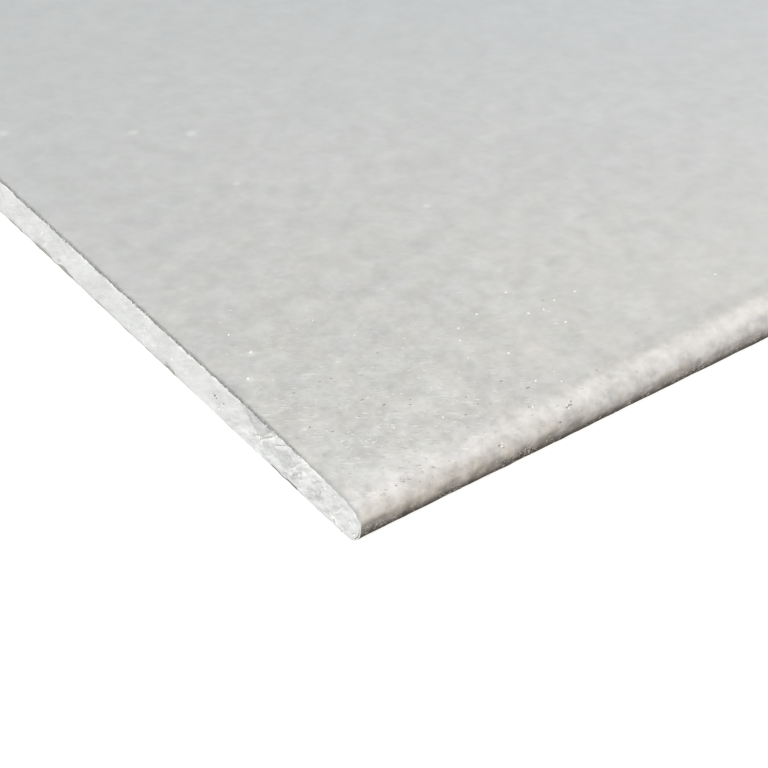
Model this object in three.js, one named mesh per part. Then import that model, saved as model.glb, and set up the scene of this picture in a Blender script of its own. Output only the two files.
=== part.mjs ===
// A gypsum board (drywall sheet): set plaster between two papers, made as one flat sheet.
//
// Millimetres, +Z up. The sheet lies on its back with its face side up. X runs along the
// sheet, Y runs across it, and the origin is the middle of the back, at floor level.
//
//   gypsum_core  the plaster body, bare at the two sawn ends
//   face_paper   covers the face, wraps both long edges and folds in under the back
//   back_paper   covers the back and laps over the two folded strips
//
// The long edges are half round, and the face tapers down to them, which leaves the
// shallow hollow that a joint between two sheets is filled in.

import * as THREE from 'three';

// ---- Driving dimensions ----

const LENGTH = 2500;        // between the two sawn ends
const WIDTH = 1200;         // over the noses of the two long edges
const THICKNESS = 12.5;     // from the back paper to the face paper, both included

const FACE_PAPER = 0.4;     // thickness of the face paper
const BACK_PAPER = 0.4;     // thickness of the back paper

const TAPER_RUN = 40;       // width of the band that tapers
const TAPER_DEPTH = 0.5;    // drop of the face across that band

const UPPER_RUN = 10;       // rounding above the nose: how far it reaches in
const UPPER_RISE = 4.5;     // and how high it is
const LOWER_RUN = 5.2;      // rounding below the nose: how far it reaches in

const BACK_SETBACK = 2.5;   // from the end of the lower rounding to the back paper
const FOLD_LAP = 23;        // width of folded face paper that the back paper covers

// ---- Facets of the curves ----

const TAPER_STEPS = 10;
const ROUND_STEPS = 16;

// ---- Places that follow from the dimensions ----

// Distances in from the nose, the outermost line of a long edge.
const BACK_PAPER_EDGE = LOWER_RUN + BACK_SETBACK;
const FOLD_END = BACK_PAPER_EDGE + FOLD_LAP;

// Heights above the floor.
const ROUNDING_TOP = THICKNESS - TAPER_DEPTH;
const NOSE_HEIGHT = ROUNDING_TOP - UPPER_RISE;
const FOLD_BOTTOM = BACK_PAPER;

const LOWER_RISE = NOSE_HEIGHT - FOLD_BOTTOM;

// ---- The outline of a long edge ----

// A point of the outline, moved into the board along the outline's normal.
// inboard and z give the place, and slope is the direction of travel as an angle:
// PI is straight out to the nose, 3 PI / 2 is straight down and 2 PI is back inboard.
function offsetPoint(inboard, z, slope, inset) {
  return {
    inboard: inboard - Math.sin(slope) * inset,
    z: z + Math.cos(slope) * inset,
  };
}

// The band that tapers: a quarter sine wave, level with the face at its inner end.
function taperPoints(inset) {
  const points = [];
  for (let i = 0; i < TAPER_STEPS; i++) {
    const share = 1 - i / TAPER_STEPS;
    const phase = share * Math.PI / 2;
    const inboard = UPPER_RUN + TAPER_RUN * share;
    const z = ROUNDING_TOP + TAPER_DEPTH * Math.sin(phase);
    const fall = TAPER_DEPTH * Math.cos(phase) * Math.PI / 2;
    points.push(offsetPoint(inboard, z, Math.PI + Math.atan2(fall, TAPER_RUN), inset));
  }
  return points;
}

// A quarter of an ellipse that starts or ends at the nose.
function roundingPoints(run, rise, startAngle, inset) {
  const points = [];
  for (let i = 0; i <= ROUND_STEPS; i++) {
    const angle = startAngle + (i / ROUND_STEPS) * Math.PI / 2;
    const inboard = run + run * Math.cos(angle);
    const z = NOSE_HEIGHT + rise * Math.sin(angle);
    const slope = Math.atan2(rise * Math.cos(angle), -run * Math.sin(angle));
    points.push(offsetPoint(inboard, z, slope, inset));
  }
  return points;
}

// The whole outline, from the level face out round the nose and in to the fold's end.
// inset 0 is the outside of the face paper, and inset FACE_PAPER is its inside.
function edgeOutline(inset) {
  const upper = roundingPoints(UPPER_RUN, UPPER_RISE, Math.PI / 2, inset);
  const lower = roundingPoints(LOWER_RUN, LOWER_RISE, Math.PI, inset);
  return [
    ...taperPoints(inset),
    ...upper,
    ...lower.slice(1),
    { inboard: FOLD_END, z: FOLD_BOTTOM + inset },
  ];
}

// Places an outline on the edge at -Y (side -1) or at +Y (side 1).
function onSide(outline, side) {
  return outline.map(({ inboard, z }) => new THREE.Vector2(side * (WIDTH / 2 - inboard), z));
}

// ---- Sections across the sheet, as (Y, Z) points ----

function coreSection() {
  const outline = [
    ...edgeOutline(FACE_PAPER),
    { inboard: FOLD_END, z: BACK_PAPER },
  ];
  return [...onSide(outline, -1), ...onSide(outline, 1).reverse()];
}

function facePaperSection() {
  const outside = edgeOutline(0);
  const inside = edgeOutline(FACE_PAPER);
  return [
    ...onSide(outside, -1),
    ...onSide(inside, -1).reverse(),
    ...onSide(inside, 1),
    ...onSide(outside, 1).reverse(),
  ];
}

function backPaperSection() {
  const outline = [
    { inboard: BACK_PAPER_EDGE, z: BACK_PAPER },
    { inboard: BACK_PAPER_EDGE, z: 0 },
  ];
  return [...onSide(outline, -1), ...onSide(outline, 1).reverse()];
}

// ---- The sheet ----

// Turns a section's own axes, with the extrusion along its Z, into the sheet's axes.
const SECTION_TO_SHEET = new THREE.Matrix4().makeBasis(
  new THREE.Vector3(0, 1, 0),
  new THREE.Vector3(0, 0, 1),
  new THREE.Vector3(1, 0, 0),
);

function layer(name, section, material) {
  const shape = new THREE.Shape(section);
  const geometry = new THREE.ExtrudeGeometry(shape, { depth: LENGTH, bevelEnabled: false });
  geometry.applyMatrix4(SECTION_TO_SHEET);
  const mesh = new THREE.Mesh(geometry, material);
  mesh.name = name;
  mesh.position.x = -LENGTH / 2;
  return mesh;
}

const gypsum = new THREE.MeshStandardMaterial({ color: 0xe6e6e3, roughness: 0.95, metalness: 0 });
const facePaper = new THREE.MeshStandardMaterial({ color: 0xcfcfcc, roughness: 0.85, metalness: 0 });
const backPaper = new THREE.MeshStandardMaterial({ color: 0xb9b5ad, roughness: 0.9, metalness: 0 });

const group = new THREE.Group();
group.add(layer('gypsum_core', coreSection(), gypsum));
group.add(layer('face_paper', facePaperSection(), facePaper));
group.add(layer('back_paper', backPaperSection(), backPaper));

export default group;
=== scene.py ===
"""A drywall sheet lying face up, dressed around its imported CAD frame.

The corner at -X, -Y is the one in view: the sawn end recedes to the left of it and the
paper-wrapped long edge to the right. All lengths are in metres, written in millimetres.
"""

import math

import bmesh
import bpy
import numpy as np
from mathutils import Matrix, Vector


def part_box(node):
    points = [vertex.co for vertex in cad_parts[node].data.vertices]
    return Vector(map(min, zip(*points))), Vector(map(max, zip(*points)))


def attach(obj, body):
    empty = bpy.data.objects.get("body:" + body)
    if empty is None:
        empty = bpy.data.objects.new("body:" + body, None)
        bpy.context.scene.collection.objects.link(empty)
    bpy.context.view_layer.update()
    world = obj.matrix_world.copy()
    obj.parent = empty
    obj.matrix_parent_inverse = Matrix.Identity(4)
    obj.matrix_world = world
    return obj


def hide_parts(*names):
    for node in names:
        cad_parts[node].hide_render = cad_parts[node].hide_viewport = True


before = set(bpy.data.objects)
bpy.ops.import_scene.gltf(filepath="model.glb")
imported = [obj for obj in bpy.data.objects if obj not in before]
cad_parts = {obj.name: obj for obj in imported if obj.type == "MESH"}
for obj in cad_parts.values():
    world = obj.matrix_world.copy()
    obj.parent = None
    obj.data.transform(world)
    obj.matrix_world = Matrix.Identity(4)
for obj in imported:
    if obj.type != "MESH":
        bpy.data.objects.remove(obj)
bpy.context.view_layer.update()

MM = 0.001

# ---- Sizes from the frame ----

face_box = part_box("face_paper")
core_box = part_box("gypsum_core")
back_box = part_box("back_paper")

HALF_LENGTH = face_box[1].x
HALF_WIDTH = face_box[1].y
THICKNESS = face_box[1].z
FACE_PAPER = face_box[1].z - core_box[1].z
BACK_PAPER = back_box[1].z
BACK_PAPER_EDGE = HALF_WIDTH - back_box[1].y

# ---- Sizes of the long edge, as in the CAD part ----

TAPER_RUN = 40 * MM
TAPER_DEPTH = 0.5 * MM
UPPER_RUN = 10 * MM
UPPER_RISE = 4.5 * MM
LOWER_RUN = 5.2 * MM
FOLD_LAP = 23 * MM

ROUNDING_TOP = THICKNESS - TAPER_DEPTH
NOSE_HEIGHT = ROUNDING_TOP - UPPER_RISE
FOLD_END = BACK_PAPER_EDGE + FOLD_LAP

# ---- Camera ----

CAMERA_FROM_CORNER = Vector((-178, -251, 284)) * MM
CAMERA_HEADING = math.radians(53.68)
CAMERA_PITCH = math.radians(37.48)
CAMERA_LENS = 85.4
CAMERA_SENSOR = 36
CAMERA_CLIP = (0.01, 1000)

corner = Vector((-HALF_LENGTH, -HALF_WIDTH, 0))


def aimed(name, data, place, direction):
    """A camera or lamp at a place, looking in a direction."""
    made = bpy.data.objects.new(name, data)
    made.location = place
    made.rotation_mode = "QUATERNION"
    made.rotation_quaternion = direction.to_track_quat("-Z", "Y")
    bpy.context.scene.collection.objects.link(made)
    return made


def make_camera():
    data = bpy.data.cameras.new("camera")
    data.lens = CAMERA_LENS
    data.sensor_width = CAMERA_SENSOR
    data.clip_start, data.clip_end = CAMERA_CLIP
    forward = Vector((
        math.cos(CAMERA_HEADING) * math.cos(CAMERA_PITCH),
        math.sin(CAMERA_HEADING) * math.cos(CAMERA_PITCH),
        -math.sin(CAMERA_PITCH),
    ))
    place = corner + CAMERA_FROM_CORNER
    bpy.context.scene.camera = aimed("camera", data, place, forward)


make_camera()

# ---- Noise, the same on every run ----


def lattice(cell, seed):
    """A random number from 0 to 1 for each cell, given as three whole numbers."""
    n = cell.astype(np.uint32)
    h = n[..., 0] * np.uint32(374761393) + n[..., 1] * np.uint32(668265263)
    h += n[..., 2] * np.uint32(2246822519) + np.uint32(seed * 3266489917 % 2**32)
    h = (h ^ (h >> np.uint32(13))) * np.uint32(1274126177)
    h = (h ^ (h >> np.uint32(16))) * np.uint32(2654435761)
    return (h ^ (h >> np.uint32(15))) / 2.0**32


def noise(points, size, seed):
    """Smooth values from -1 to 1 at points, with lumps about size across, in mm."""
    scaled = np.asarray(points, float) / (size * MM)
    base = np.floor(scaled).astype(np.int64)
    part = scaled - base
    part = part * part * (3 - 2 * part)
    total = np.zeros(scaled.shape[:-1])
    for number in range(8):
        step = np.array([number & 1, number >> 1 & 1, number >> 2])
        weight = np.prod(np.where(step, part, 1 - part), axis=-1)
        total += weight * lattice(base + step, seed)
    return total * 2 - 1


def rough(points, size, octaves, seed):
    """Noise with finer lumps laid over coarser ones."""
    total = sum(noise(points, size / 2**k, seed + k) / 2**k for k in range(octaves))
    return total / (2 - 2 ** (1 - octaves))


def smooth_step(value, low, high):
    share = np.clip((value - low) / (high - low), 0, 1)
    return share * share * (3 - 2 * share)


def bell(value, width):
    """1 at 0, about a third at width, in mm, and next to nothing at twice that."""
    return np.exp(-(value / (width * MM)) ** 2)


# ---- The outline of a long edge ----

TAPER_STEPS = 12
ROUND_STEPS = 22


def edge_outline(inset):
    """Rows of inboard, z, and the outward normal, from the level face to the fold's end.

    travel is the direction along the outline: pi is out to the nose and 2 pi is back in.
    """
    share = 1 - np.arange(TAPER_STEPS) / TAPER_STEPS
    phase = share * math.pi / 2
    fall = TAPER_DEPTH * np.cos(phase) * math.pi / 2
    taper = np.stack([
        UPPER_RUN + TAPER_RUN * share,
        ROUNDING_TOP + TAPER_DEPTH * np.sin(phase),
        math.pi + np.arctan2(fall, TAPER_RUN),
    ], axis=1)

    def rounding(run, rise, start):
        angle = start + np.linspace(0, math.pi / 2, ROUND_STEPS + 1)
        travel = np.arctan2(rise * np.cos(angle), -run * np.sin(angle))
        return np.stack([
            run + run * np.cos(angle), NOSE_HEIGHT + rise * np.sin(angle), travel,
        ], axis=1)

    upper = rounding(UPPER_RUN, UPPER_RISE, math.pi / 2)
    lower = rounding(LOWER_RUN, NOSE_HEIGHT - BACK_PAPER, math.pi)
    fold = [[inboard, BACK_PAPER, 2 * math.pi] for inboard in (BACK_PAPER_EDGE, FOLD_END)]
    line = np.concatenate([taper, upper, lower[1:], fold])
    normal = np.stack([np.sin(line[:, 2]), -np.cos(line[:, 2])], axis=1)
    return np.concatenate([line[:, :2] - inset * normal, normal], axis=1)


def limits(inset, inboard):
    """The lowest and highest points of an outline at distances from the long edge."""
    line = edge_outline(inset)
    nose = int(np.argmin(line[:, 0]))
    return [np.interp(inboard, part[:, 0], part[:, 1]) for part in (line[nose:], line[nose::-1])]


def across(edge, level_step):
    """The outline of the whole sheet as rows of y, z and normal, from fold to fold."""
    left = edge[::-1].copy()
    left[:, 0] -= HALF_WIDTH
    right = edge.copy()
    right[:, 0] = HALF_WIDTH - right[:, 0]
    right[:, 2] *= -1
    gap = right[0, 0] - left[-1, 0]
    count = max(1, round(gap / level_step))
    level_y = left[-1, 0] + gap * np.arange(1, count) / count
    level = np.stack([
        level_y, np.full_like(level_y, edge[0, 1]), 0 * level_y, 0 * level_y + 1,
    ], axis=1)
    return np.concatenate([left, level, right])


# ---- Mesh building ----


class Piece:
    """Collects the vertices and faces of one piece."""

    def __init__(self):
        self.points = []
        self.faces = []
        self.slots = []
        self.count = 0

    def add(self, points):
        """Adds points of shape (..., 3) and returns their numbers in the same shape."""
        points = np.asarray(points, float)
        flat = points.reshape(-1, 3)
        numbers = np.arange(len(flat)) + self.count
        self.points.append(flat)
        self.count += len(flat)
        return numbers.reshape(points.shape[:-1])

    def face(self, corners, slot=0):
        self.faces.append(list(corners))
        self.slots.append(slot)

    def grid(self, *blocks, slot=0):
        """Quads between neighbouring rows and columns of each block."""
        for block in blocks:
            ring = block[:-1, :-1], block[1:, :-1], block[1:, 1:], block[:-1, 1:]
            for corners in np.stack(ring, axis=-1).reshape(-1, 4).tolist():
                corners = list(dict.fromkeys(corners))
                if len(corners) > 2:
                    self.face(corners, slot)

    def tube(self, rings, slot=0):
        """Quads round closed rings of points."""
        self.grid(np.concatenate([rings, rings[:, :1]], axis=1), slot=slot)

    def thin_out(self, fine, coarse, at, slot=0):
        """Faces from a row of many points to one of few. coarse[i] lies by fine[at[i]]."""
        for i in range(len(coarse) - 1):
            near = fine[at[i]: at[i + 1] + 1].tolist()
            self.face(near + [int(coarse[i + 1]), int(coarse[i])], slot)

    def skin(self, near, middle, far, at_near, at_far, slot=0):
        """Faces over a coarse middle and, at the two cuts, the finer blocks near and far."""
        self.grid(near, far, middle, slot=slot)
        self.thin_out(near[-1], middle[0], at_near, slot)
        self.thin_out(far[-1], middle[-1], at_far, slot)

    def make(self, name, materials, sharp_angle=40):
        """Makes the object. A closed one's faces are turned outward, and no point is unused."""
        mesh = bpy.data.meshes.new(name)
        mesh.from_pydata(np.concatenate(self.points).tolist(), [], self.faces)
        mesh.polygons.foreach_set("material_index", self.slots)
        mesh.validate()
        skin = bmesh.new()
        skin.from_mesh(mesh)
        if all(edge.is_manifold for edge in skin.edges):
            bmesh.ops.recalc_face_normals(skin, faces=skin.faces)
        unused = [point for point in skin.verts if not point.link_faces]
        bmesh.ops.delete(skin, geom=unused, context="VERTS")
        skin.to_mesh(mesh)
        skin.free()
        for material in materials:
            mesh.materials.append(material)
        mesh.shade_smooth()
        mesh.set_sharp_from_angle(angle=math.radians(sharp_angle))
        piece = bpy.data.objects.new(name, mesh)
        bpy.context.scene.collection.objects.link(piece)
        return piece


def side_line(near, middle, far, side):
    """The points along one side of a skin, from the near cut to the far one."""
    return np.concatenate([near[:, side], middle[:, side], far[::-1, side]])


# ---- Materials ----


def srgb(red, green, blue):
    """A colour given as it looks on a screen, 0 to 255, as Blender's linear numbers."""
    def linear(value):
        share = value / 255
        return share / 12.92 if share <= 0.04045 else ((share + 0.055) / 1.055) ** 2.4
    return (linear(red), linear(green), linear(blue), 1.0)


def arithmetic(operation, turned=False):
    """One of Value's methods. turned is with the value last."""
    def method(self, other=0):
        pair = (other, self) if turned else (self, other)
        return self.nodes.math(operation, *pair)
    return method


class Value:
    """A number that nodes work out, to be used in plain arithmetic."""

    def __init__(self, nodes, socket):
        self.nodes = nodes
        self.socket = socket

    __add__ = arithmetic("ADD")
    __radd__ = arithmetic("ADD", turned=True)
    __sub__ = arithmetic("SUBTRACT")
    __rsub__ = arithmetic("SUBTRACT", turned=True)
    __mul__ = arithmetic("MULTIPLY")
    __truediv__ = arithmetic("DIVIDE")
    __abs__ = arithmetic("ABSOLUTE")

    def ramp(self, low, high, to_low=0, to_high=1):
        """Carried smoothly from low..high to to_low..to_high, and held there outside."""
        made = self.nodes.add("ShaderNodeMapRange", {
            "Value": self, "From Min": low, "From Max": high,
            "To Min": to_low, "To Max": to_high,
        }, interpolation_type="SMOOTHSTEP")
        return Value(self.nodes, made.outputs["Result"])

    def sway(self, amount):
        """The middle of a noise carried smoothly to amount either side of 0."""
        return self.ramp(0.3, 0.7, -amount, amount)

    def swing(self, amount):
        """A whole noise, from 0 to 1, carried to half of amount either side of 0."""
        return (self - 0.5) * amount

    def falloff(self, half, power):
        """1 at no distance, a half at distance half, and falling on towards 0."""
        far = self.nodes.math("POWER", self / half, power)
        return self.nodes.math("DIVIDE", 1, far + 1)


class Nodes:
    """Writes the nodes of one material or world."""

    def __init__(self, tree, material=None):
        self.tree = tree
        self.material = material
        tree.nodes.clear()

    def add(self, kind, inputs=None, **settings):
        made = self.tree.nodes.new(kind)
        for key, value in settings.items():
            setattr(made, key, value)
        for key, value in (inputs or {}).items():
            if isinstance(value, Value):
                value = value.socket
            if isinstance(value, bpy.types.NodeSocket):
                self.tree.links.new(value, made.inputs[key])
            else:
                made.inputs[key].default_value = value
        return made

    def first(self, kind, inputs=None, **settings):
        """The first output of a new node."""
        return self.add(kind, inputs, **settings).outputs[0]

    def math(self, operation, a, b=0):
        return Value(self, self.first("ShaderNodeMath", {0: a, 1: b}, operation=operation))

    def vector(self, operation, a, b=(0, 0, 0), scale=1):
        made = self.add("ShaderNodeVectorMath", {0: a, 1: b, 3: scale}, operation=operation)
        if operation in ("DOT_PRODUCT", "DISTANCE"):
            return Value(self, made.outputs[1])
        return made.outputs[0]

    def split(self, place):
        """The x, y and z of a place."""
        return [Value(self, part) for part in self.add("ShaderNodeSeparateXYZ", {0: place}).outputs]

    def mix(self, share, a, b):
        return self.add("ShaderNodeMix", {0: share, 6: a, 7: b}, data_type="RGBA").outputs[2]

    def shaded(self, colour, value):
        """colour made lighter or darker: value 1 leaves it as it is."""
        grey = self.first("ShaderNodeCombineXYZ", {0: value, 1: value, 2: value})
        return self.add("ShaderNodeMix", {0: 1, 6: colour, 7: grey}, data_type="RGBA",
                        blend_type="MULTIPLY", clamp_result=False).outputs[2]

    def millimetres(self):
        """The place on the piece, in millimetres."""
        return self.vector("SCALE", self.add("ShaderNodeTexCoord").outputs["Object"], scale=1 / MM)

    def noise(self, place, size, detail=2, roughness=0.5, distortion=0):
        """Noise from 0 to 1 with lumps about size across."""
        made = self.add("ShaderNodeTexNoise", {
            "Vector": place, "Scale": 1 / size, "Detail": detail, "Roughness": roughness,
            "Distortion": distortion,
        })
        return Value(self, made.outputs["Fac"])

    def wander(self, place, size, detail, amount):
        """A vector of three noises, each up to half of amount either side of 0."""
        inputs = {"Vector": place, "Scale": 1 / size, "Detail": detail}
        made = self.add("ShaderNodeTexNoise", inputs)
        centred = self.vector("SUBTRACT", made.outputs["Color"], (0.5, 0.5, 0.5))
        return self.vector("SCALE", centred, scale=amount)

    def turned(self, place, degrees, stretch):
        """The place in a pattern that is turned about x, y and z, and stretched."""
        angles = [math.radians(angle) for angle in degrees]
        inputs = {"Vector": place, "Rotation": angles, "Scale": stretch}
        return self.first("ShaderNodeMapping", inputs, vector_type="TEXTURE")

    def streaks(self, place, turn, length, width, low, high):
        """Short thin streaks in one direction, 1 on a streak and 0 off it."""
        turned = self.turned(place, (0, 0, turn), (length, width, width))
        return self.noise(turned, 1, 0, distortion=0.7).ramp(low, high)

    def specks(self, place, cell, radius, keep):
        """Small round specks, one to a cell of that size in the share of cells kept."""
        found = self.add("ShaderNodeTexVoronoi", {
            "Vector": place, "Scale": 1 / cell, "Randomness": 1}).outputs
        near = Value(self, found["Distance"]).ramp(radius / cell, 0.5 * radius / cell)
        chosen = self.first("ShaderNodeSeparateColor", {0: found["Color"]})
        return near * self.math("LESS_THAN", chosen, keep)

    def stroke(self, place, start, stop, width):
        """1 along a straight mark from start to stop, falling to 0 at its width."""
        run = Vector(stop) - Vector(start)
        off = self.vector("SUBTRACT", place, start)
        share = self.vector("DOT_PRODUCT", off, run / run.length_squared)
        nearest = self.vector("SCALE", run, scale=share.ramp(0, 1))
        return self.vector("DISTANCE", off, nearest).ramp(width, 0.25 * width)

    def looked_at(self):
        """1 on rays that end at an eye, straight, mirrored or through glass."""
        path = self.add("ShaderNodeLightPath").outputs
        beyond = self.math("MAXIMUM", path["Is Glossy Ray"], path["Is Transmission Ray"])
        return self.math("MAXIMUM", path["Is Camera Ray"], beyond)

    def finish(self, colour, roughness, specular, height=None, depth=0):
        """The material, its bumps depth high where height goes from 0 to 1."""
        inputs = {"Base Color": colour, "Roughness": roughness, "Specular IOR Level": specular}
        if height is not None:
            bump = {"Height": height, "Distance": depth, "Strength": 1}
            inputs["Normal"] = self.first("ShaderNodeBump", bump)
        surface = self.first("ShaderNodeBsdfPrincipled", inputs)
        self.add("ShaderNodeOutputMaterial", {"Surface": surface})
        return self.material


def new_material(name):
    """The nodes of a new material."""
    material = bpy.data.materials.new(name)
    material.use_nodes = True
    return Nodes(material.node_tree, material)


FACE_COLOUR = srgb(192, 192, 192)
INNER_COLOUR = srgb(191, 193, 196)
FAR_PAINTED_LIGHT_COLOUR = srgb(203, 199, 195)
SIDE_COLOUR = srgb(190, 193, 198)
SIDE_CORNER_COLOUR = srgb(193, 193, 193)
# The lighter colour of the upper rounding is a painted highlight.
BEND_HIGHLIGHT_COLOUR = srgb(198, 198, 200)
CUT_BAND_COLOUR = srgb(160, 160, 158)
STAIN_COLOUR = srgb(184, 178, 170)
WARM_COLOUR = srgb(195, 191, 185)
PLY_COLOUR = srgb(157, 156, 152)
DUSTED_COLOUR = srgb(236, 235, 231)
GREYED_COLOUR = srgb(210, 210, 206)
BACK_COLOUR = srgb(170, 168, 162)
PLASTER_COLOUR = srgb(241, 238, 233)
CRUMB_COLOUR = srgb(240, 242, 244)
RAISED_COLOUR = srgb(226, 226, 226)
PULP_COLOUR = srgb(150, 150, 149)
PIT_SHADE_COLOUR = srgb(118, 118, 112)
PALE_FLECK_COLOUR = srgb(212, 212, 211)
GREY_FLECK_COLOUR = srgb(170, 170, 169)
FIBRE_COLOUR = srgb(214, 213, 208)
SAW_ANGLE = 147
# A grey flake that stands proud of the near end is a wedge: its tip (from the corner,
# height), how far it widens to each side for each millimetre up, and its height, in mm.
FLAKE_TIP = (42.2, 6)
FLAKE_SPREAD = 1.2
FLAKE_PROUD = 0.3
# Where the plaster's lower arris broke away: from and to, in mm from the corner, the
# break's height, and how steeply it is undercut.
BREAKOUTS = [
    (32.6, 37.8, 0.8, 0.3), (26, 33.2, 0.4, 0.05), (81.6, 88, 1.6, 0.45), (94.5, 97.5, 0.6, 0.2),
    (105, 108.5, 0.6, 0.12), (118, 124.5, 0.8, 0.2), (135.6, 142, 1.2, 0.35),
    (140.2, 146, 2.7, 0.45), (147.6, 161, 1.6, 0.4), (165.5, 176, 1.6, 0.18),
]
BREAKOUTS_END = 180
# Between these, in mm from the corner, the low edge of the cut goes from dusty to greyer, and the
# painted shade at the plaster's foot grows deeper.
DUST_END = (72, 84)
# Marks on the near end: from and to (each from the corner, height), width, and how much
# lighter or darker the plaster is there, in mm and in shares of its lightness. Side-by-side
# light and dark marks are painted light and shade of small ridges and steps; the others are
# lighter and darker patches in the plaster.
MARKS = [
    (49.8, 11, 45.8, 8, 1.1, -0.15), (46.5, 9.4, 44.6, 7.2, 0.9, -0.12),
    (48.6, 11.5, 45.2, 11.6, 0.56, 0.14), (35.4, 11.7, 39.2, 8.7, 0.42, 0.14),
    (37.9, 8.5, 43.5, 5.3, 0.42, -0.17), (42, 3.8, 44.2, 1, 0.63, 0.17),
    (28.9, 10.4, 32.3, 8.3, 0.49, 0.14), (29.4, 9.7, 32, 8, 0.42, -0.12),
    (26.3, 10.4, 29.3, 7.8, 0.49, 0.14), (24.6, 7.4, 24.2, 6.6, 1.3, -0.12),
    (26.3, 4.6, 28.1, 3.3, 0.34, -0.43), (26, 5.1, 27.9, 3.9, 0.34, -0.38),
    (21.8, 6.7, 24, 5.4, 0.42, -0.2), (22.6, 7.4, 23.4, 7, 0.49, 0.17),
    (27.6, 6.6, 27, 6.2, 0.56, 0.17), (16, 6.5, 16.8, 5.2, 0.49, -0.2),
    (14.5, 4, 13.5, 6.2, 0.5, 0.07), (16.2, 9.2, 15.2, 7.4, 0.9, -0.06),
    (14.8, 9.8, 14.4, 8.6, 0.6, 0.09), (11.3, 1.3, 10.6, 1.1, 0.39, -0.36),
    (10.6, 1.6, 9.6, 1, 0.49, 0.14), (59.4, 4.6, 58.8, 5.2, 0.5, 0.12),
    (57.4, 8.4, 56.6, 6.6, 0.9, 0.05), (51.8, 6.2, 54, 3.4, 1.4, -0.03),
    (88.2, 6.9, 93.4, 2.9, 0.5, 0.09), (87.6, 6.4, 92.8, 2.4, 0.6, -0.05),
    (98.3, 1.9, 98.1, 1.6, 0.56, 0.17), (106, 1.8, 105.2, 1.9, 0.56, 0.14),
    (108.8, 5.4, 108.2, 5.1, 0.8, -0.06), (107.8, 7, 107.5, 6.6, 0.7, 0.06),
    (152.2, 7.4, 153.9, 6.1, 0.56, 0.17), (151.9, 6.9, 153.2, 5.9, 0.56, -0.12),
    (151, 4.8, 153.8, 1.8, 1, 0.09), (148.2, 7.8, 152, 5.2, 0.8, 0.05),
    (142.5, 4.4, 146.3, 2.2, 0.49, 0.12), (145, 4.6, 147.4, 3.4, 0.5, -0.06),
    (172.9, 2.2, 172.3, 1.9, 0.56, 0.14), (165.8, 2.3, 165.2, 2, 0.56, 0.14),
    (178.5, 9.4, 177, 7.2, 1.6, -0.06), (160.5, 2, 160, 1.8, 0.49, 0.14),
    (24.5, 1.3, 19.6, 1.3, 1.3, -0.035), (22.5, 2.8, 19.5, 3.4, 1.1, -0.035),
]
# Pale smears of plaster dust on the face: from the near cut, from the long edge, and
# radius, in mm.
SMEARS = [
    (12.9, 200.8, 2.6), (44.6, 178.2, 2.4), (58.1, 167.5, 2.4), (53.5, 134.9, 1.6),
    (90.1, 93.3, 1.6), (12.5, 64, 1.6), (6.3, 55.2, 1.6),
]
# The long edge's most frayed stretch: its ends (from the near cut, from the long edge,
# height), and how far its dark nicks reach from the line between them, in mm.
NICKS = ((42.3, 0.3, 4.7), (49.5, 0.3, 5.4))
NICKS_REACH = 2.6
# A shift, in mm, that keeps noises from lying over each other.
ELSEWHERE = (40, 70, 30)
# How far from the near corner the paper starts and stops turning paler and warmer, in mm: painted
# light that makes up for the weaker, cooler light far from the warm corner lamp.
FAR_PAINTED_LIGHT_REACH = (290, 750)


def smeared(n, mm):
    """1 in the middle of each listed smear, falling to 0 at its radius."""
    place = n.vector("ADD", mm, (HALF_LENGTH / MM, HALF_WIDTH / MM, -THICKNESS / MM))
    return sum(
        n.vector("DISTANCE", place, (from_cut, inboard, 0)).ramp(radius, 0.2 * radius)
        for from_cut, inboard, radius in SMEARS
    )


def nicked(n, mm):
    """1 in the dark nicks of the long edge's most frayed stretch."""
    start, stop = [(from_cut - HALF_LENGTH / MM, inboard - HALF_WIDTH / MM, level)
                   for from_cut, inboard, level in NICKS]
    nicks = n.noise(mm, 0.55, 1, 0.6, 1).ramp(0.48, 0.53)
    return n.stroke(mm, start, stop, NICKS_REACH) * nicks


def pulp(n, mm):
    """Light and dark pulp in the face paper's skin, and where its fibres stand up."""
    fine = n.noise(mm, 1.6, 1) - 0.5
    patches = n.noise(mm, 12, 1).ramp(0.42, 0.62, 0.3, 1.3)
    fibres = n.math("MAXIMUM", n.streaks(mm, -36, 2.6, 0.9, 0.62, 0.74),
                    n.streaks(mm, 65, 2.2, 0.7, 0.66, 0.8))
    raised = fibres * patches
    shades = (fine * 0.04 + abs(fine) * fine * 0.95 + raised * 0.08
              + n.specks(mm, 5, 0.4, 0.3) * 0.1 + n.specks(mm, 4.2, 0.36, 0.25) * -0.14)
    return shades, raised


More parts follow.
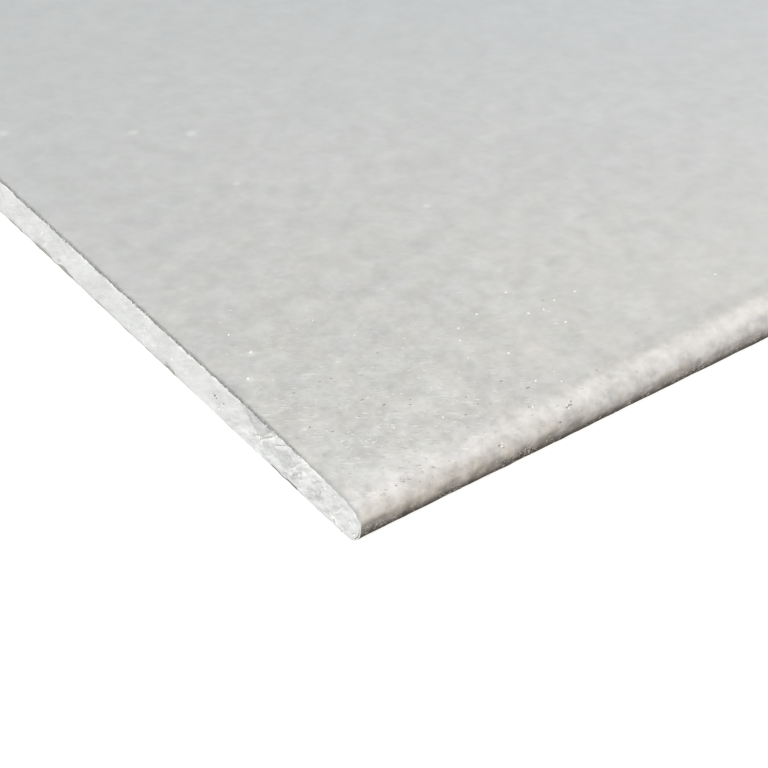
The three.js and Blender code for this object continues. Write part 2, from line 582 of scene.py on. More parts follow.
def paper_face():
    """The face paper: pale grey, faintly clouded, with light and dark pulp pressed in, and painted
    highlight and shade on its rounded long edges.
    """
    n = new_material("paper_face")
    mm = n.millimetres()
    x, y, level = n.split(mm)
    inboard = HALF_WIDTH / MM - abs(y)
    from_cut = HALF_LENGTH / MM - abs(x)
    reach = n.math("SQRT", inboard * inboard + from_cut * from_cut)
    handled = (reach.falloff(66, 4) + 0.1) * level.ramp(10, 11.6, 0.45, 1)
    # The band where the long edge starts to round, which carries painted light and shade.
    shoulder_light_and_shade = abs(inboard - 9).ramp(4, 1)
    lower = level.ramp(9.5, 6.5)

    clouds = n.noise(mm, 7, 1, 0.8, 0.3)
    mottle = n.noise(mm, 2.3, 1, 0.5, 0.3)
    lumps = n.noise(mm, 4, 3, 0.65)
    blotch = n.noise(mm, 4.8, 1)
    texture, raised = pulp(n, mm)
    value = sum([
        n.noise(mm, 60).swing(0.05),
        n.noise(mm, 14, 1, 0.7).swing(0.045),
        clouds.swing(0.38) * reach.falloff(150, 2),
        mottle.swing(0.31) * reach.falloff(95, 2),
        texture * handled,
        smeared(n, mm) * 0.15,
        inboard.ramp(11, 5) * lumps.sway(0.08),
        level.ramp(10.8, 9.4) * lumps.ramp(0.35, 0.65, -0.06, 0.06),
        lower * from_cut.ramp(50, 150, 1, 0.65) * blotch.sway(0.24),
        nicked(n, mm) * -0.72,
        from_cut.ramp(9, 4) * 0.025,
        reach.ramp(40, 12) * 0.04,
        # Painted highlight by the near cut and painted shade farther along, on the band where the
        # long edge starts to round.
        shoulder_light_and_shade * from_cut.ramp(15, 60, 0.065, -0.06),
        lower * from_cut.ramp(21, 15, 0, -0.13),
    ], 1)
    # Painted shade: below the face the rounded long edge is made up to 15% darker, and its lower
    # half, turned towards the floor, darker still towards the bottom.
    value = value * level.ramp(11.2, 9.2, 1, 0.85) * (level.ramp(6.8, 3.4) * -0.69 + 1)

    elsewhere = n.vector("ADD", mm, ELSEWHERE)
    warm = n.noise(elsewhere, 9).ramp(0.4, 0.65, 0, 0.35) * reach.falloff(115, 3)
    side = n.mix(from_cut.ramp(15, 110), SIDE_CORNER_COLOUR, SIDE_COLOUR)
    corner_place = (-HALF_LENGTH / MM, -HALF_WIDTH / MM, THICKNESS / MM)
    # Painted light: the paper turns paler and warmer far from the near corner.
    far_painted_light = n.vector("DISTANCE", mm, corner_place).ramp(*FAR_PAINTED_LIGHT_REACH)
    stain = n.noise(mm, 5).ramp(0.53, 0.66, 0, 0.35) * level.ramp(11.2, 8.5)
    # The paper is darker within about a millimetre of each cut.
    cut_band_reach = n.noise(mm, 2.5, 3, 0.6).ramp(0.3, 0.7, 0.5, 1.3)
    cut_band = (1 - from_cut / cut_band_reach).ramp(0, 1) * level.ramp(7, 10)
    base = n.mix(from_cut.ramp(40, 260), FACE_COLOUR, INNER_COLOUR)
    for share, colour in (
        (warm, WARM_COLOUR),
        (level.ramp(11.2, 10.2), side),
        # Painted highlight: the upper part of the rounded long edge is given a lighter colour.
        (inboard.ramp(8, 5) * level.ramp(9.8, 11), BEND_HIGHLIGHT_COLOUR),
        (far_painted_light, FAR_PAINTED_LIGHT_COLOUR),
        (stain, STAIN_COLOUR),
        (cut_band * inboard.ramp(12, 45, 0.4, 1), CUT_BAND_COLOUR),
    ):
        base = n.mix(share, base, colour)
    tint = n.vector("ADD", n.wander(elsewhere, 5, 1, 0.03), (1, 1, 1))
    height = (clouds + mottle * 0.6 + texture * handled * 2.2 + raised * handled * 0.35
              + lower * blotch)
    tinted = n.vector("MULTIPLY", n.shaded(base, value), tint)
    return n.finish(tinted, 0.85, 0.12, height, 0.1 * MM)


def broken_stretches(n, mm):
    """1 where the lower arris of a cut is broken or bare, and 0 where it is whole."""
    x, y, _ = n.split(mm)
    from_corner = y + HALF_WIDTH / MM
    listed = 0
    for start, stop, *_ in BREAKOUTS:
        opens = from_corner.ramp(start - 0.4, start + 0.6)
        closes = from_corner.ramp(stop + 0.4, stop - 0.6)
        listed = n.math("MAXIMUM", listed, opens * closes)
    others = n.math("MAXIMUM", n.math("GREATER_THAN", x),
                    from_corner.ramp(BREAKOUTS_END, BREAKOUTS_END + 5))
    patches = n.noise(mm, 9).ramp(0.5, 0.6)
    return n.math("MAXIMUM", listed * n.math("LESS_THAN", x), others * patches)


def paper_ply():
    """The cut edge of the paper: grey inner plies, white with dust in most low places."""
    n = new_material("paper_ply")
    mm = n.millimetres()
    _, y, level = n.split(mm)
    from_corner = y + HALF_WIDTH / MM
    inboard = HALF_WIDTH / MM - abs(y)
    upper = level.ramp(7, 9.5) * inboard.ramp(6, 40, 0.45, 1)
    broken = broken_stretches(n, mm) * from_corner.ramp(*DUST_END, 1, 0.5)
    value = sum([n.noise(mm, 0.7, 3, 0.6).sway(0.2), n.noise(mm, 6).sway(0.12)], 1)
    greyer_low = level.ramp(4, 1) * from_corner.ramp(*DUST_END)
    dust = n.mix(greyer_low, DUSTED_COLOUR, GREYED_COLOUR)
    bare = n.math("MAXIMUM", upper, broken)
    return n.finish(n.mix(bare, dust, n.shaded(PLY_COLOUR, value)), 0.9, 0.1)


def paper_back():
    """The back paper: plain recycled grey-brown with darker and lighter flecks."""
    n = new_material("paper_back")
    mm = n.millimetres()
    mottle = n.noise(mm, 4, 4, 0.6)
    fibres = n.math("MAXIMUM", n.streaks(mm, 15, 2.4, 0.3, 0.64, 0.78),
                    n.streaks(mm, 100, 2, 0.3, 0.64, 0.78))
    value = sum([n.noise(mm, 80).sway(0.02), mottle.sway(0.05), fibres * 0.07,
                 n.specks(mm, 6, 0.35, 0.3) * -0.2], 1)
    return n.finish(n.shaded(BACK_COLOUR, value), 0.85, 0.12, mottle, 0.05 * MM)


def marked(n, from_corner, level):
    """How much lighter or darker the near end's listed marks make the plaster."""
    place = n.first("ShaderNodeCombineXYZ", {0: from_corner, 1: level})
    place = n.vector("ADD", place, n.wander(place, 1 / 0.9, 2, 0.7))
    return sum(
        n.stroke(place, (start_y, start_z, 0), (stop_y, stop_z, 0), width) * change
        for start_y, start_z, stop_y, stop_z, width, change in MARKS
    )


def plaster():
    """Sawn gypsum: white, with fine pores, faint slanting saw marks, a grey scar, painted highlight
    along its top arris and painted shade at its foot and in its pores.
    """
    n = new_material("plaster")
    mm = n.millimetres()
    x, y, level = n.split(mm)

    def sawn(width, stretch, detail):
        turned = n.turned(mm, (SAW_ANGLE, 0, 0), (1, stretch, 1))
        return n.noise(turned, width, detail, 0.65)

    near_end = n.math("LESS_THAN", x)
    from_corner = y + HALF_WIDTH / MM
    crumbly = near_end * from_corner.ramp(75, 25) * from_corner.ramp(4, 22, 0.45, 1)
    aside = abs(from_corner - FLAKE_TIP[0]) + n.noise(mm, 1.5).sway(0.8)
    wedge = (level - FLAKE_TIP[1]) * FLAKE_SPREAD - aside
    scar = near_end * wedge.ramp(-0.2, 0.4)
    whole = 1 - broken_stretches(n, mm)
    # Painted shade: where the lower arris is whole, the plaster darkens towards the foot of the
    # cut, three times as much beyond the dust's end.
    foot_shade = level.ramp(1.8, 0.5) * (whole * from_corner.ramp(*DUST_END, 1, 3.2))
    # Lighter patches along the top arris: painted highlight where the arris catches the light,
    # partly also whiter, freshly broken plaster.
    rim = level.ramp(10.7, 11.3) * n.noise(mm, 3.4).ramp(0.5, 0.57)

    marks = sawn(2, 3, 3)
    strokes = sawn(4.5, 5, 1).ramp(0.46, 0.54, -1, 1)
    smudges = sawn(3, 2.2, 2).ramp(0.42, 0.6)
    light = sawn(0.8, 7, 0).ramp(0.64, 0.78)
    dark = 1 - sawn(0.7, 6, 0).ramp(0.22, 0.36)
    grain = n.noise(mm, 0.45, 3, 0.65)
    # Pores are sunk and also darkened: the darkening is painted shade inside them.
    pores = n.specks(mm, 1.6, 0.16, 0.35)
    value = sum([
        n.noise(mm, 9, 1).sway(0.04), marks.sway(0.036), grain.sway(0.024), strokes * 0.02,
        crumbly * smudges.ramp(0, 1, 0.05, -0.1),
        light * (crumbly * 0.06 + 0.05), dark * (crumbly * -0.1 - 0.04),
        scar * -0.19, foot_shade * -0.04, rim * 0.12, pores * -0.2,
        near_end * marked(n, from_corner, level),
    ], 1)
    height = (marks + grain * 0.5 - pores) * (crumbly * 1.2 + 1)
    return n.finish(n.shaded(PLASTER_COLOUR, value), 0.95, 0.12, height, 0.1 * MM)


def one_colour(name, colour, size):
    """One colour, a little lighter and darker from place to place."""
    n = new_material(name)
    value = n.noise(n.millimetres(), size).ramp(0.3, 0.7, 0.85, 1.15)
    return n.finish(n.shaded(colour, value), 0.9, 0.1)


# ---- The face paper ----

VIEW_REACH = 190 * MM
EDGE_REACH = 150 * MM
FINE_STEP = 0.4 * MM
PLAIN_STEP = 1.4 * MM
LEVEL_STEP = 25 * MM
CUT_ROWS = np.array([0, 0.12, 0.3, 0.55, 0.9, 1.4, 2.1, 3.2, 5, 8]) * MM
EDGE_STEP = 0.9 * MM
STATION_GROWTH = 1.2
STATION_LONGEST = 40 * MM
INNER_THINNING = 3
INNER_DRAG = 0.75 * MM


def step_counts(profile, fine, plain):
    """How many parts to make of each step: fine ones by the near corner, plain beyond."""
    lengths = np.hypot(*np.diff(profile[:, :2], axis=0).T)
    spacing = np.where(profile[:-1, 0] < VIEW_REACH - HALF_WIDTH, fine, plain)
    return np.maximum(1, np.round(lengths / spacing)).astype(int)


def divide(profile, counts):
    """Splits each step of a profile into that many equal parts."""
    parts = [a + (b - a) * np.arange(count)[:, None] / count
             for a, b, count in zip(profile[:-1], profile[1:], counts)]
    return np.concatenate(parts + [profile[-1:]])


def places_after(counts):
    """Where each old point of a divided profile is among the new ones."""
    return np.concatenate([[0], np.cumsum(counts)])


def sweep(profile, stations):
    """Points and normals of a profile at each x, of shape (stations, profile, 3)."""
    shape = (len(stations), len(profile))
    x = np.broadcast_to(np.asarray(stations)[:, None], shape)
    y, z, normal_y, normal_z = (np.broadcast_to(profile[:, k], shape) for k in range(4))
    return np.stack([x, y, z], axis=-1), np.stack([0 * x, normal_y, normal_z], axis=-1)


def crooked(points, normals, drag=0):
    """Moves points of the paper from its ideal surface to its real, slightly uneven one.

    drag is how far the saw pulled the paper's inner side down over the plaster.
    """
    x, y, z = np.moveaxis(points, -1, 0)
    up = normals[..., 2]
    end = np.where(x < 0, -1, 1)
    from_cut = HALF_LENGTH - np.abs(x)
    inboard = HALF_WIDTH - np.abs(y)
    on_cut = np.stack([HALF_LENGTH * end, y, z], axis=-1)

    nick = np.clip(noise(on_cut, 3.5, 31) - 0.55, 0, 1) * 0.6 * MM
    ragged = (0.5 + 0.5 * rough(on_cut, 1.4, 3, 11)) * 0.16 * MM + nick
    curl = (0.06 + 0.12 * rough(on_cut, 22, 2, 21)) * MM
    lumps = rough(points, 6, 2, 41) * 0.17 * MM + rough(points, 2.2, 2, 51) * 0.06 * MM
    bent = bell(np.maximum(0, inboard - UPPER_RUN), 6)
    bulge = smooth_step(-up, 0.1, 0.4) * smooth_step(-up, 0.95, 0.7)
    fringe = 0.6 + 0.8 * rough(on_cut, 1.3, 3, 91) + 0.5 * noise(on_cut, 5, 95)

    lift = curl * bell(from_cut, 1.3) + lumps * np.maximum(bent, bell(from_cut, 3))
    lift += 0.08 * MM * bulge
    lift -= drag * fringe.clip(0) * smooth_step(up, -0.2, 0.4)
    moved = points + normals * lift[..., None]
    moved[..., 0] -= end * ragged * bell(from_cut, 1.2)
    return moved


def stations_between_bands():
    """Places along X: close together beside the near corner, far apart elsewhere."""
    near = CUT_ROWS[-1] - HALF_LENGTH
    places = list(np.arange(near, near + EDGE_REACH, EDGE_STEP)[1:])
    step = EDGE_STEP
    while places[-1] + 2 * step < -near:
        step = min(step * STATION_GROWTH, STATION_LONGEST)
        places.append(places[-1] + step)
    return np.array(places)


def make_face_paper(ply):
    piece = Piece()
    outer = across(edge_outline(0), LEVEL_STEP)
    inner = across(edge_outline(FACE_PAPER), LEVEL_STEP)
    fine = step_counts(outer, FINE_STEP, PLAIN_STEP)
    plain = step_counts(outer, PLAIN_STEP, PLAIN_STEP)
    kept = np.r_[0, 2: len(outer) - 2: INNER_THINNING, len(outer) - 1]
    at_near, at_far = places_after(fine), places_after(plain)
    near_x = CUT_ROWS - HALF_LENGTH
    far_x = HALF_LENGTH - CUT_ROWS
    between = stations_between_bands()

    def lay(profile, stations, drag=0):
        return piece.add(crooked(*sweep(profile, stations), drag))

    near = lay(divide(outer, fine), near_x)
    far = lay(divide(outer, plain), far_x)
    middle = lay(outer, between)
    piece.skin(near, middle, far, at_near, at_far)

    # The side against the plaster is fine only along the cuts.
    near_line = lay(divide(inner, fine), near_x[:1], INNER_DRAG)
    far_line = lay(divide(inner, plain), far_x[:1], INNER_DRAG)
    inside_x = np.concatenate([near_x[1::2], between[::2], far_x[:0:-2]])
    inside = lay(inner[kept], inside_x)
    piece.skin(near_line, inside, far_line, at_near[kept], at_far[kept], slot=1)

    # The paper's thickness shows at both cuts and along both folded ends.
    piece.grid(np.stack([near_line[0], near[0]]), np.stack([far_line[0], far[0]]), slot=1)
    for side in (0, -1):
        back = side_line(near_line, inside, far_line, side)[::-1]
        piece.face(np.concatenate([side_line(near, middle, far, side), back]), 1)
    return piece.make("face_paper_sheet", [paper_face(), ply])


# ---- The plaster core ----

COLUMN_STEP = 0.26 * MM
COLUMN_PLAIN_STEP = 1.4 * MM
NOSE_REACH = 3 * MM
NOSE_COLUMNS = 14
NEAR_ROWS = 38
FAR_ROWS = 12

# Breaks in the near end: distance from the corner, height, radius and depth, all in mm.
PITS = [
    (62.6, 5.7, 0.5, 0.9), (61.9, 5.3, 0.35, 0.6), (58.4, 5.4, 0.4, 0.8), (44.9, 4.4, 0.3, 0.5),
    (42.8, 5, 0.3, 0.5), (40.8, 5.8, 0.3, 0.5), (28.8, 5.2, 0.35, 0.7), (27.6, 5.9, 0.3, 0.5),
    (26.4, 4.9, 0.35, 0.6), (25.2, 5.5, 0.3, 0.5), (24.6, 4.3, 0.3, 0.6), (11.1, 1.3, 0.28, 0.4),
    (2.9, 2.7, 0.35, 0.6), (2, 1.9, 0.35, 0.6),
]
# Cracks, in mm: from and to (each from the corner, height), a width and a depth.
CRACKS = [
    (34.5, 10.8, 43.5, 3.6, 0.35, 0.5), (29.5, 11.3, 36.5, 6.5, 0.3, 0.35),
    (41, 6.3, 45.5, 4.2, 0.3, 0.4), (24, 10, 28.5, 5, 0.3, 0.3), (16.5, 9.5, 20, 5.5, 0.3, 0.3),
    (7, 8.8, 10, 4.2, 0.28, 0.3),
]
# Pores scattered over the near end where it is finely meshed: how many, and between what
# their distances from the corner, heights, radii and depths lie, in mm.
RANDOM_PITS = 60
RANDOM_PIT_RANGES = ((1, VIEW_REACH / MM), (1, 11.5), (0.18, 0.34), (0.2, 0.5))


def random_pits(rng):
    """As many rows like those of PITS."""
    values = [rng.uniform(*ends, RANDOM_PITS) for ends in RANDOM_PIT_RANGES]
    return np.stack(values, axis=1).tolist()


def dent(depth, along, height, pit):
    """Presses one round pit into depth. along runs from the corner."""
    place, level, radius, deep = (value * MM for value in pit)
    columns = np.abs(along[0] - place) < 1.2 * radius
    away = np.hypot(along[:, columns] - place, height[:, columns] - level) / radius
    depth[:, columns] += deep * (1 - smooth_step(away, 0.6, 1.05))


def crack(depth, along, height, line):
    """Opens a narrow groove along a straight line."""
    *ends, width, deep = line
    start, stop = np.reshape(ends, (2, 2)) * MM
    run = stop - start
    length = math.hypot(*run)
    run /= length
    y, z = along - start[0], height - start[1]
    share = (y * run[0] + z * run[1]) / length
    aside = np.abs(z * run[0] - y * run[1]) / (width * MM)
    fade = smooth_step(share, 0, 0.2) * (1 - smooth_step(share, 0.8, 1))
    depth += deep * MM * fade * (1 - smooth_step(aside, 0.2, 1))


def flake(depth, along, height, wobble):
    """Sinks the plaster on both sides of the flake that still stands."""
    up = height / MM - FLAKE_TIP[1]
    aside = np.abs(along / MM - FLAKE_TIP[0])
    wedge = FLAKE_SPREAD * up - aside + 0.8 * wobble
    around = (1 - smooth_step(aside, 5, 11)) * smooth_step(height / MM, 1.2, 4)
    depth += FLAKE_PROUD * MM * around * (1 - smooth_step(wedge, -0.3, 0.3))


def end_depth(along, height, top, bottom, near):
    """How far the sawn plaster lies behind the plane of the cut."""
    seed = 61 if near else 71
    turn = math.radians(SAW_ANGLE)
    down_mark = along * math.cos(turn) + height * math.sin(turn)
    across_mark = height * math.cos(turn) - along * math.sin(turn)

    def layer(size, octaves, number, stretch=1):
        place = (along, height) if stretch == 1 else (down_mark / stretch, across_mark)
        points = np.stack([np.full(along.shape, 7 * MM), *place], axis=-1)
        return rough(points, size, octaves, seed + number)

    crumbly = 1 + 2 * bell(along, 48)
    depth = (0.13 + 0.08 * layer(9, 2, 0)) * MM
    depth += crumbly * 0.06 * MM * layer(2.4, 3, 3, stretch=4)
    depth += crumbly * 0.05 * MM * layer(1.3, 2, 6)
    ragged = smooth_step(layer(14, 2, 9), -0.1, 0.5)
    depth += ragged * np.maximum(0, layer(2, 2, 12, stretch=2.5)) * 0.3 * MM

    chipped = 0.08 + 0.34 * smooth_step(layer(6, 2, 15), -0.15, 0.35)
    depth += bell(top - height, 0.9) * chipped * MM
    depth *= 1 - 0.7 * bell(height - bottom, 0.4)
    if near:
        for pit in PITS + random_pits(np.random.default_rng(5)):
            dent(depth, along, height, pit)
        for line in CRACKS:
            crack(depth, along, height, line)
        flake(depth, along, height, layer(2.5, 2, 21))
        for start, stop, rise, slope in BREAKOUTS:
            inside = np.clip(np.minimum(along / MM - start, stop - along / MM), 0, None)
            within = smooth_step(inside, 0, 0.25 * (stop - start))
            reach = rise * MM * (0.8 + 0.35 * layer(2, 2, 24)) * within + 0.01 * MM
            depth += slope * np.clip(reach - (height - bottom), 0, None)
    return np.maximum(depth, 0)


def core_columns():
    """Places along Y from nose to nose, close together over the part in view."""
    turn = np.linspace(0, math.pi / 2, NOSE_COLUMNS)
    nose = FACE_PAPER + (NOSE_REACH - FACE_PAPER) * (1 - np.cos(turn))
    fine = np.arange(NOSE_REACH, VIEW_REACH, COLUMN_STEP)[1:]
    plain = np.arange(VIEW_REACH, 2 * HALF_WIDTH - NOSE_REACH - COLUMN_PLAIN_STEP,
                      COLUMN_PLAIN_STEP)
    return np.concatenate([nose, fine, plain, 2 * HALF_WIDTH - nose[::-1]])


def make_core(gypsum):
    piece = Piece()
    along = core_columns()
    inboard = np.minimum(along, 2 * HALF_WIDTH - along)
    bottom, top = limits(FACE_PAPER, inboard)
    bottom = np.where(inboard > FOLD_END, BACK_PAPER, bottom)

    def end(rows, near):
        share = np.linspace(0, 1, rows + 1)[:, None]
        height = bottom + (top - bottom) * share
        wide = np.broadcast_to(along, height.shape)
        depth = end_depth(wide, height, top, bottom, near)
        x = (depth - HALF_LENGTH) if near else (HALF_LENGTH - depth)
        numbers = piece.add(np.stack([x, wide - HALF_WIDTH, height], axis=-1))
        numbers[:, 0] = numbers[0, 0]
        numbers[:, -1] = numbers[0, -1]
        return numbers

    near, far = end(NEAR_ROWS, True), end(FAR_ROWS, False)
    piece.grid(near, far, np.stack([near[-1], far[-1]]), np.stack([near[0], far[0]]))
    return piece.make("plaster_body", [gypsum])


# ---- The back paper ----

BACK_ROWS = np.array([0, 0.4, 1, 2.5, 6]) * MM
BACK_STEP = 0.8 * MM
BACK_PLAIN_STEP = 2.5 * MM
# Where the back paper's coarse middle starts and stops, from each cut, and its step.
BACK_MIDDLE_START = 15 * MM
BACK_MIDDLE_STOP = 10 * MM
BACK_MIDDLE_STEP = 12 * MM


def make_back_paper(ply):
    piece = Piece()
    half = HALF_WIDTH - BACK_PAPER_EDGE
    fine_y = np.concatenate([
        np.arange(-half, VIEW_REACH - HALF_WIDTH, BACK_STEP),
        np.arange(VIEW_REACH - HALF_WIDTH, half - BACK_PLAIN_STEP, BACK_PLAIN_STEP),
        [half],
    ])
    pick = np.unique(np.r_[np.searchsorted(fine_y, np.arange(-half, half, LEVEL_STEP)),
                           len(fine_y) - 1])
    middle_x = np.arange(-HALF_LENGTH + BACK_MIDDLE_START, HALF_LENGTH - BACK_MIDDLE_STOP,
                         BACK_MIDDLE_STEP)

    def lay(stations, places, z):
        x, y = np.meshgrid(stations, places, indexing="ij")
        end, side = np.sign(x), np.sign(y)
        cut = np.stack([end * HALF_LENGTH, y, 0 * x], axis=-1)
        pull = (0.1 + 0.16 * rough(cut, 2.5, 3, 81)) * MM * bell(HALF_LENGTH - np.abs(x), 1.5)
        rim = np.stack([x, side * half, 0 * x], axis=-1)
        wave = rough(rim, 30, 3, 85) * 0.3 * MM * (np.abs(y) > half - 0.01 * MM)
        return piece.add(np.stack([x - end * pull, y - side * np.abs(wave),
                                   np.full(x.shape, z)], axis=-1))

    skins = []
    for z in (BACK_PAPER, 0):
        near = lay(BACK_ROWS - HALF_LENGTH, fine_y, z)
        far = lay(HALF_LENGTH - BACK_ROWS, fine_y, z)
        middle = lay(middle_x, fine_y[pick], z)
        piece.skin(near, middle, far, pick, pick)
        skins.append((near, middle, far))
    upper, lower = skins
    for end in (0, -1):
        piece.grid(np.stack([lower[end][0], upper[end][0]]), slot=1)
    for side in (0, -1):
        piece.grid(np.stack([side_line(*skin, side) for skin in skins]), slot=1)
    return piece.make("back_paper_sheet", [paper_back(), ply])


# ---- Crumbs and fibres ----

CRUMB_RINGS = 4
CRUMB_SPOKES = 6
CRUMB_HEIGHT = 0.55
CRUMB_BULGE = (0.75, 1.25)
# Bits on the face paper: from the near cut, from the long edge, and size, in mm.
FACE_CRUMBS = [
    (81, 47.3, 0.4), (79.5, 36.5, 0.5), (84.9, 28, 0.45), (64.6, 26.3, 0.5), (61, 41.9, 0.45),
    (58, 37.5, 0.5), (68.5, 44, 0.45), (84, 35.5, 0.4), (88.8, 37, 0.45), (95.8, 36.9, 0.4),
    (12.7, 64.7, 0.65), (6.2, 55.9, 0.55), (63, 13.8, 0.4), (15.5, 19.3, 0.35), (25.5, 32.4, 0.32),
    (35.7, 15.8, 0.35), (55.2, 30.8, 0.3), (69, 14, 0.3), (10.2, 27.9, 0.28), (23.7, 19.4, 0.28),
    (12.1, 74.1, 0.4), (33, 66.8, 0.35), (131.4, 21.2, 0.45), (56, 6.5, 0.42), (56.2, 7.1, 0.3),
    (68, 9.9, 0.35),
]
# Dark bits of old paper in the face, in the same way.
FACE_BITS = [
    (26.9, 27.8, 0.6), (7.6, 31.2, 0.4), (2.6, 29.6, 0.4), (11.1, 26.8, 0.4), (11.9, 44.4, 0.36),
    (19.6, 44.4, 0.44), (22.6, 43.8, 0.36), (44.9, 18.6, 0.44), (23.8, 32.4, 0.44),
    (19.4, 27.7, 0.36), (45.7, 14.8, 0.4), (33.3, 25.7, 0.32), (32.2, 24.2, 0.36),
    (37.9, 45.6, 0.36), (55.8, 18.6, 0.36), (13.2, 24.3, 0.28), (18.2, 34.3, 0.28),
    (86.4, 38.7, 0.36), (59.5, 12.7, 0.48), (40.7, 13.4, 0.32), (55, 7, 0.36), (12.5, 3.5, 0.32),
]
# Crumbs and dark bits on the long edge below the face: from the near cut, height, size.
SIDE_CRUMBS = [
    (42, 9.6, 0.28), (42.6, 10, 0.24), (64, 10.3, 0.32), (63.9, 10.75, 0.28), (44.6, 6, 0.26),
    (46.8, 6.8, 0.28), (48, 5.6, 0.24), (39.6, 7, 0.24),
]
SIDE_BITS = [
    (41.5, 9.9, 0.3), (42.3, 9.3, 0.28), (41, 7.6, 0.3), (40, 7, 0.26), (63.4, 10.5, 0.3),
    (64.2, 10.65, 0.3), (64.8, 10.6, 0.34), (59.6, 9, 0.4), (65.5, 10.9, 0.26), (43.4, 5.8, 0.32),
    (45, 5.5, 0.32), (46.2, 6.2, 0.3), (47.6, 6.5, 0.3), (44.2, 4.8, 0.28), (48.8, 5.5, 0.28),
    (50.4, 5.9, 0.26),
]
# Bits on the sawn end: from the corner, height, and size, in mm.
END_CRUMBS = [(19.3, 5.3, 0.35), (42.8, 3, 0.45), (1.1, 4.6, 0.35)]
# The dark bits below sit in the near end's pits: painted shade standing for the shadow inside them.
PIT_SHADE_BITS = [
    (62.6, 5.7, 0.42), (61.9, 5.2, 0.25), (58.4, 5.5, 0.28), (11.1, 1.3, 0.16), (2.6, 1.9, 0.2),
    (44.9, 4.5, 0.2), (28.8, 5.2, 0.2), (24.7, 4.3, 0.2),
]
# How much of its listed size a bit is built with, on the paper and on the sawn end, and
# how far behind the cut the latter lies.
PAPER_BIT_SHARE = 0.78
END_BIT_SHARE = 0.7
END_BIT_DEPTH = 0.18 * MM
# Flat flecks of pulp strewn on the face by the near corner: how many, how far out, where
# half are left, their half width, in mm, how many times longer they are, the share of grey
# ones, and how they lie, in degrees.
FLECKS = 190
FLECK_REACH = 85
FLECK_HALF_REACH = 42
FLECK_SIZES = (0.09, 0.14)
FLECK_LENGTHS = (4, 9)
GREY_FLECKS = 0.36
FLECK_BEARING = -36
FLECK_SPREAD = 15
FIBRE_SIDES = 3
FIBRE_STEPS = 6
FIBRE_RADIUS = 0.06 * MM
# Keeps a straight fibre's curl from being divided by nothing.
LEAST_CURL = 1e-3
# How many are strewn along the near and the far cut or long edge.
CUT_CRUMBS = (260, 120)
EDGE_FIBRES = (1100, 350)
CUT_FIBRES = (700, 300)
# The share of what is strewn along the near cut or long edge that lies in view, and of
# fibres that lie low on a long edge.
CUT_IN_VIEW = 0.6
EDGE_IN_VIEW = 0.7
LOW_SHARE = 0.7
# Rows of the long edge's outline that fibres stand on: below its nose, and the rest.
LOW_ROWS = (36, 43)
HIGH_ROWS = (10, 36)
# Where the near long edge is most frayed, from the near cut, and the share of its low
# fibres that are moved there.
FRAYED = (41 * MM, 52 * MM)
FRAYED_SHARE = 0.12


def face_height(inboard):
    """How high the face paper lies at a distance from one long edge, up to the other."""
    return float(limits(0, min(inboard, 2 * HALF_WIDTH - inboard))[1])


def each_way(counts):
    """-1 as often as the first count says, and then 1 as often as the second."""
    return np.repeat((-1, 1), counts).tolist()


def add_crumb(piece, rng, place, outward, size, slot=0, long=1, bearing=0):
    """A small irregular lump, sunk a little into what it lies on."""
    turn = np.array(Vector(outward).normalized().to_track_quat("Z", "Y").to_matrix())
    spin = rng.uniform(0, 2 * math.pi)
    tall = np.linspace(0, math.pi, CRUMB_RINGS + 1)[:, None]
    round_it = np.linspace(0, 2 * math.pi, CRUMB_SPOKES, endpoint=False)[None] + spin
    bulge = rng.uniform(*CRUMB_BULGE, (CRUMB_RINGS + 1, CRUMB_SPOKES))
    bulge[0], bulge[-1] = bulge[0, 0], bulge[-1, 0]
    lump = np.stack([np.sin(tall) * np.cos(round_it) * long,
                     np.sin(tall) * np.sin(round_it),
                     np.cos(tall) * CRUMB_HEIGHT + 0 * round_it], axis=-1) * bulge[..., None] * size
    lump = lump @ np.array(Matrix.Rotation(bearing, 3, "Z")).T
    numbers = piece.add(lump @ turn.T + np.asarray(place))
    numbers[0], numbers[-1] = numbers[0, 0], numbers[-1, 0]
    piece.tube(numbers, slot)


def strew_flecks(piece):
    """Pale and grey flecks on the face, fewer and fewer away from the near corner."""
    rng = np.random.default_rng(41)
    strewn = 0
    while strewn < FLECKS:
        from_cut, inboard = rng.uniform(3, FLECK_REACH, 2)
        away = math.hypot(from_cut, inboard) / FLECK_HALF_REACH
        if rng.random() > 1 / (1 + away ** 4):
            continue
        grey = rng.random() < GREY_FLECKS
        size = rng.uniform(*FLECK_SIZES) * MM
        sunk = 0.25 * size if grey else 0
        place = (from_cut * MM - HALF_LENGTH, inboard * MM - HALF_WIDTH,
                 face_height(inboard * MM) - sunk)
        bearing = math.radians(FLECK_BEARING + rng.normal(0, FLECK_SPREAD))
        long = rng.uniform(*FLECK_LENGTHS)
        add_crumb(piece, rng, place, (0, 0, 1), size, 6 if grey else 5, long, bearing)
        strewn += 1


